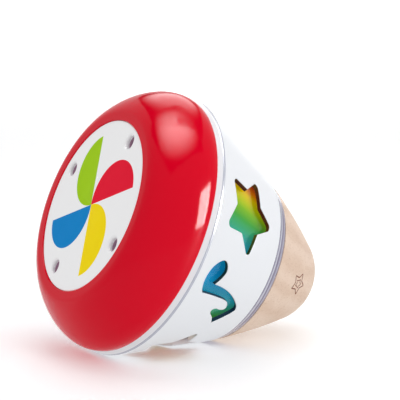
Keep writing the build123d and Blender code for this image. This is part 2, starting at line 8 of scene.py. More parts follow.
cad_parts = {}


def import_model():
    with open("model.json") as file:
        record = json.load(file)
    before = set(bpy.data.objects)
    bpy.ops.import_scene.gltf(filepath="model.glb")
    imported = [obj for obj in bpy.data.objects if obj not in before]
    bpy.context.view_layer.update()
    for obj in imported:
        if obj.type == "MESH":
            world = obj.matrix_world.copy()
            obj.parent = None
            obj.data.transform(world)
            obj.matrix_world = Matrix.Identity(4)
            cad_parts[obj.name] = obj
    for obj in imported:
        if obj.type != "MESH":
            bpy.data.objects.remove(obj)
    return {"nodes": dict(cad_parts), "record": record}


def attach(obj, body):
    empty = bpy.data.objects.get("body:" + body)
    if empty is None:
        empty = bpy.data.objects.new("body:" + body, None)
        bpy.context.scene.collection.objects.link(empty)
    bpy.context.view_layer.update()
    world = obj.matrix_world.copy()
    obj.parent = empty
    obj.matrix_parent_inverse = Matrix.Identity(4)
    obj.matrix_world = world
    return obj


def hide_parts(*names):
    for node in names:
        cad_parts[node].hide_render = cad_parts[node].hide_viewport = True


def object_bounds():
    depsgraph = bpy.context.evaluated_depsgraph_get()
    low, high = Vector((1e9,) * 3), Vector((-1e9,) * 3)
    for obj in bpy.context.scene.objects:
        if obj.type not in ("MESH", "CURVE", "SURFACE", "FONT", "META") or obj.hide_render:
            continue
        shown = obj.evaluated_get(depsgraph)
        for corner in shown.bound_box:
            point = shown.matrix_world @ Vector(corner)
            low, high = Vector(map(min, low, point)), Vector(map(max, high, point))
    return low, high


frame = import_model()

cad_low, cad_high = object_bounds()

# ---- the toy's own frame: stations in mm from the face plane toward the nose, radii in mm -----
MM = 0.001
lip = next(mount for mount in frame["record"]["mounts"] if mount["name"] == "face_lip")
NOSEWARD = -Vector(lip["axis"]).normalized()
FACE_CENTRE = Vector((lip["pos_m"][0], 0, lip["pos_m"][2]))
UPWARD = Vector((-NOSEWARD.z, 0, NOSEWARD.x))
SIDEWARD = Vector((0, -1, 0))
TILT = atan2(-NOSEWARD.z, NOSEWARD.x)


def at(station, radius=0.0, clock=0.0):
    """Point at a station and radius in mm, with its clock angle in degrees from the top toward -Y."""
    around = radians(clock)
    outward = UPWARD * cos(around) + SIDEWARD * sin(around)
    return FACE_CENTRE + (NOSEWARD * station + outward * radius) * MM


HOLE_RADIUS = 3.0          # of the face disc's screw holes
HOLE_CIRCLE = 33.0         # radius on which they lie
HOLE_CLOCK = 24.4          # of the first of the four
HOLE_SHADE_MARGIN = 0.4        # of the mauve painted shade round each hole in the cap
FLANGE_END = 27.5          # stations of the clear liner's flange and neck ring
NECK_START = 72.6
NECK_END = 77.6


# ---- materials --------------------------------------------------------------------------------
def srgb(red, green, blue):
    """Linear colour, with alpha 1, of an 8-bit screen colour."""
    linear = []
    for value in (red, green, blue):
        share = value / 255
        linear.append(share / 12.92 if share <= 0.04045 else ((share + 0.055) / 1.055) ** 2.4)
    return (*linear, 1.0)


class Nodes:
    """A new material's node tree, with short ways to add to it."""

    def __init__(self, name):
        self.material = bpy.data.materials.new(name)
        self.material.use_nodes = True
        self.tree = self.material.node_tree
        self.shader = self.tree.nodes["Principled BSDF"]

    def add(self, kind, inputs=(), **settings):
        node = self.tree.nodes.new("ShaderNode" + kind)
        for key, value in settings.items():
            setattr(node, key, value)
        for key, value in dict(inputs).items():
            self.feed(node.inputs[key], value)
        return node

    def feed(self, socket, value):
        if isinstance(value, bpy.types.NodeSocket):
            self.tree.links.new(value, socket)
        else:
            socket.default_value = value

    def set(self, **values):
        """Sets the shader's sockets; underscores stand for spaces."""
        for key, value in values.items():
            self.feed(self.shader.inputs[key.replace("_", " ")], value)

    def math(self, operation, first, second=0.0, third=0.0):
        node = self.add("Math", {0: first, 1: second, 2: third}, operation=operation)
        return node.outputs[0]

    def noise(self, scale, detail=3.0, roughness=0.5, vector=None, distortion=0.0):
        inputs = {"Scale": scale, "Detail": detail, "Roughness": roughness, "Distortion": distortion}
        if vector is not None:
            inputs["Vector"] = vector
        return self.add("TexNoise", inputs).outputs[0]

    def position(self):
        return self.add("TexCoord").outputs["Object"]

    def spread(self, value, low, high, from_low=0.0, from_high=1.0):
        """Maps a value's range onto another."""
        inputs = {"Value": value, "To Min": low, "To Max": high, "From Min": from_low, "From Max": from_high}
        return self.add("MapRange", inputs).outputs[0]

    def ramp(self, value, stops):
        node = self.add("ValToRGB", {0: value})
        band = node.color_ramp
        while len(band.elements) > 1:
            band.elements.remove(band.elements[-1])
        band.elements[0].position, band.elements[0].color = stops[0]
        for place, colour in stops[1:]:
            band.elements.new(place).color = colour
        return node.outputs["Color"]

    def blend(self, factor, first, second, mode="MIX"):
        node = self.add("Mix", data_type="RGBA", blend_type=mode)
        self.feed(node.inputs[0], factor)
        self.feed(node.inputs[6], first)
        self.feed(node.inputs[7], second)
        return node.outputs[2]

    def bump(self, height, strength, distance):
        inputs = {"Height": height, "Strength": strength, "Distance": distance}
        return self.add("Bump", inputs).outputs[0]

    def along(self, direction, origin=FACE_CENTRE):
        """Distance of the shaded point from the origin along a direction, in metres."""
        offset = self.add("VectorMath", {0: self.position(), 1: origin}, operation="SUBTRACT").outputs[0]
        return self.add("VectorMath", {0: offset, 1: direction}, operation="DOT_PRODUCT").outputs["Value"]

    def clock(self, step=1.0):
        """Clock angle of the shaded point round the spin axis, in turns of the given size."""
        angle = self.math("ARCTAN2", self.along(SIDEWARD), self.along(UPWARD))
        return self.math("DIVIDE", angle, 2 * pi * step)


def plastic(name, colour, roughness, shine=0.5, grain=0.03, scale=900.0, tint=0.06):
    """Moulded plastic: faint colour drift, a fine orange-peel bump and uneven gloss."""
    nodes = Nodes(name)
    where = nodes.position()
    drift = nodes.noise(28.0, 2.0, vector=where)
    darker = tuple(channel * (1 - tint) for channel in colour[:3]) + (1.0,)
    nodes.set(Base_Color=nodes.blend(drift, darker, colour))
    smears = nodes.noise(70.0, 4.0, vector=where)
    nodes.set(Roughness=nodes.spread(smears, roughness * 0.8, roughness * 1.25))
    nodes.set(Normal=nodes.bump(nodes.noise(scale, 2.0, vector=where), grain, 0.0002))
    nodes.set(Specular_IOR_Level=shine, IOR=1.5)
    return nodes.material


def white(name, colour):
    return plastic(name, colour, 0.3, shine=0.08, grain=0.02, tint=0.01)


def red_plastic():
    """Glossy red, with painted shade: mauve where the disc's four screw holes run on into the cap, in place
    of the shade in them.
    """
    nodes = Nodes("red_plastic")
    where = nodes.position()
    red = nodes.blend(nodes.noise(28.0, 2.0, vector=where), srgb(216, 0, 33), srgb(222, 0, 35))
    round_it = nodes.add("CombineXYZ", {0: nodes.along(UPWARD), 1: nodes.along(SIDEWARD)}).outputs[0]
    radius = nodes.add("VectorMath", {0: round_it}, operation="LENGTH").outputs["Value"]
    turn = nodes.math("WRAP", nodes.math("SUBTRACT", nodes.clock(0.25), HOLE_CLOCK / 90), 0.5, -0.5)
    angle = nodes.math("MULTIPLY", turn, pi / 2)
    outward = nodes.math("MULTIPLY", radius, nodes.math("COSINE", angle))
    out = nodes.math("SUBTRACT", outward, HOLE_CIRCLE * MM)
    across = nodes.math("MULTIPLY", radius, nodes.math("SINE", angle))
    from_hole = nodes.add("CombineXYZ", {0: out, 1: across}).outputs[0]
    distance = nodes.add("VectorMath", {0: from_hole}, operation="LENGTH").outputs["Value"]
    # painted shade: mauve inside each of the four screw holes
    hole_painted_shade = nodes.math("LESS_THAN", distance, (HOLE_RADIUS + HOLE_SHADE_MARGIN) * MM)
    nodes.set(Base_Color=nodes.blend(hole_painted_shade, red, srgb(196, 158, 182)), Specular_IOR_Level=0.1, IOR=1.5)
    nodes.set(Roughness=nodes.spread(nodes.noise(70.0, 4.0, vector=where), 0.08, 0.12))
    nodes.set(Normal=nodes.bump(nodes.noise(500.0, 2.0, vector=where), 0.015, 0.0002))
    return nodes.material


def metal(name, colour, roughness, scratch=0.15):
    """Ground or plated metal with fine scratches."""
    nodes = Nodes(name)
    where = nodes.position()
    streaks = nodes.noise(1400.0, 3.0, vector=where)
    cloud = nodes.noise(90.0, 3.0, vector=where)
    dull = tuple(channel * 0.82 for channel in colour[:3]) + (1.0,)
    nodes.set(Base_Color=nodes.blend(cloud, colour, dull), Metallic=1.0)
    nodes.set(Roughness=nodes.spread(streaks, roughness * 0.7, roughness * 1.4))
    nodes.set(Normal=nodes.bump(streaks, scratch, 0.00005))
    return nodes.material


# painted light and shade: lighter and darker bands across the neck ring, from its face end to its nose end
NECK_LIGHT_AND_SHADE = [
    (0.00, srgb(108, 98, 132)), (0.16, srgb(150, 146, 170)), (0.32, srgb(212, 214, 226)),
    (0.44, srgb(138, 130, 158)), (0.60, srgb(116, 106, 136)), (0.78, srgb(176, 174, 194)),
    (0.90, srgb(140, 130, 152)), (1.00, srgb(96, 84, 108)),
]


def clear_plastic():
    """Thin clear plastic with a weak shine; its flange and its neck ring are frosted violet-grey, the neck
    ring with painted light and shade in bands across it.
    """
    nodes = Nodes("clear_plastic")
    ripple = nodes.bump(nodes.noise(60.0, 1.0, vector=nodes.position()), 0.02, 0.0004)
    fresnel = nodes.add("Fresnel", {"IOR": 1.2, "Normal": ripple}).outputs[0]
    outer_side = nodes.math("SUBTRACT", 1.0, nodes.add("NewGeometry").outputs["Backfacing"])
    shine = nodes.math("MULTIPLY", fresnel, outer_side)
    passing = nodes.add("BsdfTransparent", {"Color": srgb(248, 250, 250)}).outputs[0]
    mirror = {"Color": srgb(255, 255, 255), "Roughness": 0.05, "Normal": ripple}
    glossy = nodes.add("BsdfGlossy", mirror).outputs[0]
    clear = nodes.add("MixShader", {0: shine, 1: passing, 2: glossy}).outputs[0]
    station = nodes.along(NOSEWARD)
    flange = nodes.math("LESS_THAN", station, FLANGE_END * MM)
    neck = nodes.math("GREATER_THAN", station, NECK_START * MM)
    along_it = nodes.math("MULTIPLY", station, 420.0)
    round_it = nodes.add("CombineXYZ", {0: nodes.clock(0.1), 1: along_it}).outputs[0]
    # the painted bands wobble along the ring
    uneven = nodes.math("SUBTRACT", nodes.noise(1.6, 3.0, 0.6, round_it), 0.5)
    streaks = nodes.math("MULTIPLY", uneven, 0.5)
    across = nodes.math("ADD", nodes.spread(station, 0.0, 1.0, NECK_START * MM, NECK_END * MM), streaks)
    shade = nodes.ramp(across, NECK_LIGHT_AND_SHADE)
    colour = nodes.blend(flange, shade, srgb(196, 198, 212))
    frosted = nodes.add("BsdfPrincipled", {"Base Color": colour, "Roughness": 0.22, "Coat Weight": 0.4})
    solid = nodes.math("MAXIMUM", flange, neck)
    share = nodes.math("MULTIPLY", solid, 0.88)
    mixed = nodes.add("MixShader", {0: share, 1: clear, 2: frosted.outputs[0]}).outputs[0]
    nodes.feed(nodes.tree.nodes["Material Output"].inputs["Surface"], mixed)
    return nodes.material


RAINBOW_PERIOD = 120.0     # degrees of clock angle from one blue to the next
RAINBOW_BLUE = 102.0
RAINBOW = [
    (0.00, srgb(4, 126, 180)), (0.12, srgb(8, 138, 182)), (0.30, srgb(40, 152, 166)),
    (0.42, srgb(52, 152, 112)), (0.52, srgb(58, 148, 54)), (0.62, srgb(118, 168, 26)),
    (0.70, srgb(180, 184, 6)), (0.79, srgb(216, 180, 0)), (0.87, srgb(226, 120, 4)),
    (1.00, srgb(176, 20, 14)),
]


def rainbow_colour(nodes, shift=0.0):
    """The drum's colours: blue to red and back, three times round, moved by a clock angle."""
    turns = nodes.math("ADD", nodes.clock(RAINBOW_PERIOD / 360), (shift - RAINBOW_BLUE) / RAINBOW_PERIOD)
    triangle = nodes.math("MULTIPLY", nodes.math("PINGPONG", turns, 0.5), 2.0)
    wobble = nodes.spread(nodes.noise(20.0, 2.0, vector=nodes.position()), -0.02, 0.02)
    return nodes.ramp(nodes.math("ADD", triangle, wobble), RAINBOW)


DRUM_PAINTED_LIGHT = 0.55           # painted light: share of its own colour that the print gives off, so that it looks lit


def printed_drum():
    """Rainbow print with painted light: it glows with its own colour for all but matt rays, so it looks lit
    but casts no light on what is near it.
    """
    nodes = Nodes("printed_drum")
    colour = rainbow_colour(nodes)
    matt_ray = nodes.add("LightPath").outputs["Is Diffuse Ray"]
    # painted light: the print's own colour given off for every ray but matt ones
    glow = nodes.spread(matt_ray, DRUM_PAINTED_LIGHT, 0.0)
    nodes.set(Base_Color=colour, Roughness=0.35, Specular_IOR_Level=0.0, Emission_Color=colour,
              Emission_Strength=glow)
    dots = nodes.noise(2600.0, 1.0, vector=nodes.position())
    nodes.set(Normal=nodes.bump(dots, 0.05, 0.00005))
    return nodes.material


def window_edge_painted_shade():
    """Cut edge of a window, all painted light: painted shade, dark, with a painted reflection of the print's
    colours; white on the underside as painted light from the floor.
    """
    nodes = Nodes("window_edge_painted_shade")
    # painted shade with a painted reflection: the print's colours, moved round, darkened almost to black
    painted_shade_and_reflection = nodes.blend(0.86, rainbow_colour(nodes, -18.0), (0.006, 0.002, 0.002, 1.0))
    # painted light: the edges toward the floor turn white, as if lit from it
    underside_painted_light = nodes.spread(nodes.math("ABSOLUTE", nodes.clock()), 0.0, 1.0, 0.36, 0.41)
    nodes.set(Base_Color=nodes.blend(underside_painted_light, painted_shade_and_reflection, srgb(236, 236, 240)))
    nodes.set(Roughness=0.4, Specular_IOR_Level=0.15)
    return nodes.material


def print_ink(name, colour):
    """Thin matt colour: the ink on the face disc and the line of the burnt mark."""
    nodes = Nodes(name)
    where = nodes.position()
    thin = tuple(min(1.0, channel * 1.06 + 0.004) for channel in colour[:3]) + (1.0,)
    nodes.set(Base_Color=nodes.blend(nodes.noise(160.0, 3.0, vector=where), colour, thin))
    nodes.set(Roughness=nodes.spread(nodes.noise(300.0, 2.0, vector=where), 0.26, 0.36))
    nodes.set(Specular_IOR_Level=0.02)
    return nodes.material


WOOD_LIGHT = srgb(232, 208, 189)
WOOD_DARK = srgb(216, 186, 163)


def beech():
    """Turned beech: growth rings stretched along the spin axis, short dark flecks, a satin lacquer."""
    nodes = Nodes("beech")
    length = nodes.along(NOSEWARD)
    height = nodes.along(UPWARD)
    side = nodes.along(SIDEWARD)

    def drawn_out(share):
        """Position with its length along the spin axis scaled down."""
        shortened = nodes.math("MULTIPLY", length, share)
        return nodes.add("CombineXYZ", {0: shortened, 1: height, 2: side}).outputs[0]

    stretched = drawn_out(0.12)
    wave = {"Vector": stretched, "Scale": 26.0, "Distortion": 7.0, "Detail": 3.0, "Detail Scale": 1.4,
            "Detail Roughness": 0.6}
    rings = nodes.add("TexWave", wave, wave_type="BANDS", bands_direction="Y").outputs["Fac"]
    fibre = nodes.noise(900.0, 4.0, 0.6, drawn_out(0.06))
    fleck = nodes.noise(1500.0, 1.0, 0.4, drawn_out(0.22))
    flecks = nodes.spread(fleck, 0.0, 1.0, 0.62, 0.72)
    tone = nodes.math("ADD", nodes.math("MULTIPLY", rings, 0.30), nodes.math("MULTIPLY", fibre, 0.45))
    wood = nodes.ramp(tone, [(0.15, WOOD_LIGHT), (0.65, WOOD_DARK)])
    wood = nodes.blend(nodes.math("MULTIPLY", flecks, 0.3), wood, srgb(176, 132, 98))
    nodes.set(Base_Color=wood, Coat_Weight=0.1, Coat_Roughness=0.3, Specular_IOR_Level=0.15)
    nodes.set(Roughness=nodes.spread(fibre, 0.38, 0.6))
    nodes.set(Normal=nodes.bump(fibre, 0.12, 0.0002))
    return nodes.material


MATERIALS = {
    "red_plastic": red_plastic(),
    "disc_white": white("disc_white", srgb(254, 254, 255)),
    "white_plastic": white("white_plastic", srgb(238, 240, 244)),
    "clear_plastic": clear_plastic(),
    "beech": beech(),
    "steel": metal("steel", srgb(186, 188, 192), 0.28),
    "spring_steel": metal("spring_steel", srgb(150, 153, 160), 0.22),
    "brass": metal("brass", srgb(212, 172, 92), 0.24),
    "cast_weight": metal("cast_weight", srgb(104, 105, 108), 0.55, scratch=0.5),
    "natural_plastic": plastic("natural_plastic", srgb(226, 222, 204), 0.42),
    "grey_plastic": plastic("grey_plastic", srgb(128, 131, 136), 0.5, scale=1400.0, grain=0.1),
    "printed_drum": printed_drum(),
    "window_edge_painted_shade": window_edge_painted_shade(),
    "burnt_line": print_ink("burnt_line", srgb(128, 76, 60)),
    "green_ink": print_ink("green_ink", srgb(163, 209, 18)),
    "red_ink": print_ink("red_ink", srgb(235, 14, 50)),
    "yellow_ink": print_ink("yellow_ink", srgb(255, 223, 0)),
    "blue_ink": print_ink("blue_ink", srgb(0, 134, 206)),
}

slots = {part["node"]: part["material_slot"] for part in frame["record"]["subparts"]}
for node_name, node in frame["nodes"].items():
    node.data.materials.clear()
    node.data.materials.append(MATERIALS[slots[node_name]])


# ---- mesh building ------------------------------------------------------------------------------
class Skin:
    """Collects points in mm with exact normals, and faces, then makes a smooth-shaded piece."""

    def __init__(self, name, node, body, *materials):
        self.name, self.node, self.body = name, node, body
        self.materials = [MATERIALS[material] for material in materials]
        self.points, self.normals, self.faces, self.kinds = [], [], [], []

    def point(self, place, normal):
        self.points.append(place)
        self.normals.append(normal.normalized())
        return len(self.points) - 1

    def face(self, corners, kind=0):
        """Adds a face with its corners in the order that faces the same way as their normals."""
        a, b, c = (self.points[i] for i in corners[:3])
        facing = sum((self.normals[i] for i in corners), Vector())
        if (b - a).cross(c - a).dot(facing) < 0:
            corners = list(reversed(corners))
        self.faces.append(tuple(corners))
        self.kinds.append(kind)

    def strip(self, first, second, kind=0):
        """Quads between two closed rings of points."""
        for i, here in enumerate(first):
            j = (i + 1) % len(first)
            self.face([here, first[j], second[j], second[i]], kind)

    def make(self):
        mesh = bpy.data.meshes.new(self.name)
        mesh.from_pydata(self.points, [], self.faces)
        for material in self.materials:
            mesh.materials.append(material)
        mesh.polygons.foreach_set("material_index", self.kinds)
        mesh.polygons.foreach_set("use_smooth", [True] * len(self.faces))
        mesh.normals_split_custom_set_from_vertices(self.normals)
        piece = bpy.data.objects.new(self.name, mesh)
        bpy.context.scene.collection.objects.link(piece)
        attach(piece, self.body)
        if self.node:
            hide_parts(self.node)
        return piece


def arc_points(centre, start, end, steps):
    """Points of the arc about a centre from start to end, less than half a turn."""
    first, last = Vector(start) - Vector(centre), Vector(end) - Vector(centre)
    turn = first.angle_signed(last)
    return [Vector(centre) + Matrix.Rotation(-turn * i / steps, 2) @ first for i in range(steps + 1)]


def round_corners(corners, radii, steps=6):
    """Closed outline with each corner rounded to its radius; a radius of 0 stays sharp."""
    outline = []
    for i, corner in enumerate(corners):
        corner = Vector(corner)
        before = (Vector(corners[i - 1]) - corner).normalized()
        after = (Vector(corners[(i + 1) % len(corners)]) - corner).normalized()
        if not radii[i]:
            outline.append(corner)
            continue
        half = before.angle(after) / 2
        middle = corner + (before + after).normalized() * (radii[i] / sin(half))
        reach = radii[i] / tan(half)
        outline += arc_points(middle, corner + before * reach, corner + after * reach, steps)
    return outline


def clean_loop(outline, spacing):
    """Closed outline with its long edges divided into steps of about the spacing."""
    loop = []
    for i, here in enumerate(outline):
        there = outline[(i + 1) % len(outline)]
        count = max(1, int((there - here).length / spacing + 0.5))
        loop += [here.lerp(there, k / count) for k in range(count)]
    return loop


def grown(loop, distance):
    """Closed loop moved outward, away from its inside, by a distance."""
    area = sum(loop[i - 1].cross(loop[i]) for i in range(len(loop)))
    side = 1 if area > 0 else -1
    moved = []
    for i, here in enumerate(loop):
        into = (here - loop[i - 1]).normalized()
        out = (loop[(i + 1) % len(loop)] - here).normalized()
        first, second = Vector((into.y, -into.x)) * side, Vector((out.y, -out.x)) * side
        moved.append(here + (first + second) * (distance / max(0.35, 1 + first.dot(second))))
    return moved


def inside(place, loop):
    """True if a point lies inside a closed loop."""
    crossings = False
    for i, here in enumerate(loop):
        there = loop[i - 1]
        if (here.y > place.y) != (there.y > place.y):
            if place.x < (there.x - here.x) * (place.y - here.y) / (there.y - here.y) + here.x:
                crossings = not crossings
    return crossings


def triangulate(loops, holes, extra=()):
    """Points and triangles of the area inside the first loop and outside the holes."""
    places, edges = [], []
    for loop in loops:
        start = len(places)
        places += loop
        edges += [(start + i, start + (i + 1) % len(loop)) for i in range(len(loop))]
    places += list(extra)
    result = delaunay_2d_cdt(places, edges, [], 0, 1e-5)
    spots, triangles = result[0], result[2]
    kept = []
    for triangle in triangles:
        middle = sum((spots[i] for i in triangle), Vector((0, 0))) / len(triangle)
        if inside(middle, loops[0]) and not any(inside(middle, hole) for hole in holes):
            kept.append(list(triangle))
    return spots, kept


def circle(radius, count, centre=(0, 0)):
    turns = [2 * pi * i / count for i in range(count)]
    return [Vector((centre[0] + radius * cos(turn), centre[1] + radius * sin(turn))) for turn in turns]


# ---- face disc ----------------------------------------------------------------------------------
DISC_RADIUS = 38.7
DISC_FRONT = 0.4
DISC_BACK = 2.6
DISC_EDGE = 0.35
HOLE_LIP = 1.4             # rounding of each hole's front edge
LIP_STEPS = 6
RIM_POINTS = 192
HOLE_POINTS = 48
PETAL_LENGTH = 32.7
PETAL_CLOCK = -20.0        # of the green petal's straight edge
PETAL_INKS = ("green_ink", "red_ink", "yellow_ink", "blue_ink")


def petals():
    """Four half-discs: each straight edge runs out from the centre, and the arc lies before it."""
    shapes = []
    for i in range(4):
        turn = radians(PETAL_CLOCK + 90 * i)
        out = Vector((cos(turn), sin(turn)))
        across = Vector((sin(turn), -cos(turn)))
        half = PETAL_LENGTH / 2
        sweep = [pi * k / 40 for k in range(41)]
        shapes.append([out * half * (1 + cos(a)) + across * half * sin(a) for a in sweep])
    return shapes


def face_disc():
    skin = Skin("printed_face_disc", "face_disc", "outer_body", "disc_white", *PETAL_INKS)
    turns = [radians(HOLE_CLOCK + 90 * i) for i in range(4)]
    holes = [(HOLE_CIRCLE * cos(turn), HOLE_CIRCLE * sin(turn)) for turn in turns]

    def place(spot, station):
        return at(station) + (UPWARD * spot.x + SIDEWARD * spot.y) * MM

    def rounded_edge(centre, radius, lip, count, outward):
        """Strips from the front face round an edge and down to the back."""
        rings = []
        centre = Vector(centre)
        way = 1 if outward else -1
        for step in range(LIP_STEPS + 1):
            lean = pi / 2 * step / LIP_STEPS
            ring = []
            for spot in circle(1.0, count):
                reach = radius - way * lip * (1 - sin(lean))
                radial = (UPWARD * spot.x + SIDEWARD * spot.y) * way
                station = DISC_FRONT + lip * (1 - cos(lean))
                ring.append(skin.point(place(centre + spot * reach, station),
                                       -NOSEWARD * cos(lean) + radial * sin(lean)))
            rings.append(ring)
        wall = [skin.point(place(centre + spot * radius, DISC_BACK), skin.normals[rings[-1][k]])
                for k, spot in enumerate(circle(1.0, count))]
        rings.append(wall)
        for first, second in zip(rings, rings[1:]):
            skin.strip(first, second)

    shapes = petals()
    rim = circle(DISC_RADIUS - DISC_EDGE, RIM_POINTS)
    openings = [circle(HOLE_RADIUS + HOLE_LIP, HOLE_POINTS, hole) for hole in holes]
    spots, triangles = triangulate([rim] + openings + shapes, openings)
    front = [skin.point(place(spot, DISC_FRONT), -NOSEWARD) for spot in spots]
    for triangle in triangles:
        middle = sum((spots[i] for i in triangle), Vector((0, 0))) / 3
        kind = next((i + 1 for i, shape in enumerate(shapes) if inside(middle, shape)), 0)
        skin.face([front[i] for i in triangle], kind)
    rounded_edge((0, 0), DISC_RADIUS, DISC_EDGE, RIM_POINTS, True)
    for hole in holes:
        rounded_edge(hole, HOLE_RADIUS, HOLE_LIP, HOLE_POINTS, False)
    back_rim = circle(DISC_RADIUS, RIM_POINTS)
    back_openings = [circle(HOLE_RADIUS, HOLE_POINTS, hole) for hole in holes]
    spots, triangles = triangulate([back_rim] + back_openings, back_openings)
    back = [skin.point(place(spot, DISC_BACK), NOSEWARD) for spot in spots]
    for triangle in triangles:
        skin.face([back[i] for i in triangle])
    return skin.make()


# ---- white shell --------------------------------------------------------------------------------
SHELL_START = 27.45
SHELL_END = 72.6
CONE_STATION = 27.4
CONE_RADIUS = 59.54        # of the shell's cone at that station
SHELL_WALL = 2.3
EDGE_ROUNDING = 0.6
WINDOW_STATION = 48.1
STAR_CLOCK = 69.4
NOTE_CLOCK = 114.4
SECTOR_START = 46.9        # a quarter of the shell, with one star and one note
PLAIN_QUARTER = 3          # the quarter without a note
STAR_REACH = (19.2, 10.5)  # of the star's tips and notches
STAR_ROUNDING = (2.0, 0.5)
OUTLINE_SPACING = 1.2      # about one point per this length along a window
GRID_MARGIN = 0.8          # left free of grid points round a window
STATION_STEPS = 12
CLOCK_STEPS = 36           # per quarter
BEND_STEPS = 4             # rings of a window's rounded edge
PAINTED_SHADE_LEVEL = 3             # ring from which a window's edge takes the painted shade


def shell_radius(station, depth=0.0):
    return CONE_RADIUS - (station - CONE_STATION) * tan(TILT) - depth / cos(TILT)


def star_outline():
    """Five-pointed star with rounded tips, one toward the nose; x is backward, y faceward, in mm."""
    turns = [radians(-90 + 36 * i) for i in range(10)]
    corners = [(far * cos(turn), far * sin(turn)) for far, turn in zip(STAR_REACH * 5, turns)]
    return round_corners(corners, STAR_ROUNDING * 5)


def smooth_path(points, start, end, steps=7):
    """Cubic curve through points, leaving along start and arriving along end; without the last point."""
    points = [Vector(p) for p in points]
    slopes = [Vector(start).normalized() * (points[1] - points[0]).length]
    slopes += [(after - before) / 2 for before, after in zip(points, points[2:])]
    slopes.append(Vector(end).normalized() * (points[-1] - points[-2]).length)
    path = []
    for here, there, leave, arrive in zip(points, points[1:], slopes, slopes[1:]):
        for k in range(steps):
            t = k / steps
            path.append(here * (2 * t ** 3 - 3 * t ** 2 + 1) + leave * (t ** 3 - 2 * t ** 2 + t)
                        + there * (3 * t ** 2 - 2 * t ** 3) + arrive * (t ** 3 - t ** 2))
    return path


def note_outline():
    """Quaver: an oval head toward the face, a slanted stem and a curled flag toward the nose."""
    head_top, head_end, notch = (3.2, 13.2), (18.4, 8.6), (7.4, 8.2)
    foot, flag_tip = (-4.6, -15.9), (-13.0, -6.9)
    curl_out, curl_in = (-5.6, -0.3), (-4.2, -8.2)
    outline = smooth_path([head_top, (9.0, 16.1), (15.2, 14.6), head_end], (1, 1), (-0.1, -1))
    outline += smooth_path([head_end, (13.6, 4.3), notch], (-0.1, -1), (-1, 1))
    outline += smooth_path([notch, (4.9, -2.6), (0.4, -11.4), foot], (-0.1, -1), (-1, -0.1))
    outline += smooth_path([foot, (-8.8, -11.8), flag_tip], (-1, 0.6), (-1, 1))
    outline += smooth_path([flag_tip, (-9.6, -4.4), curl_out], (1, 0.5), (1, 0))
    outline += smooth_path([curl_out, (-4.4, -2.2), (-4.9, -5.4), curl_in], (1, 0), (1, -1))
    outline += smooth_path([curl_in, (-0.4, -6.6), (1.6, 1.4), head_top], (1, -1), (0.1, 1))
    return outline


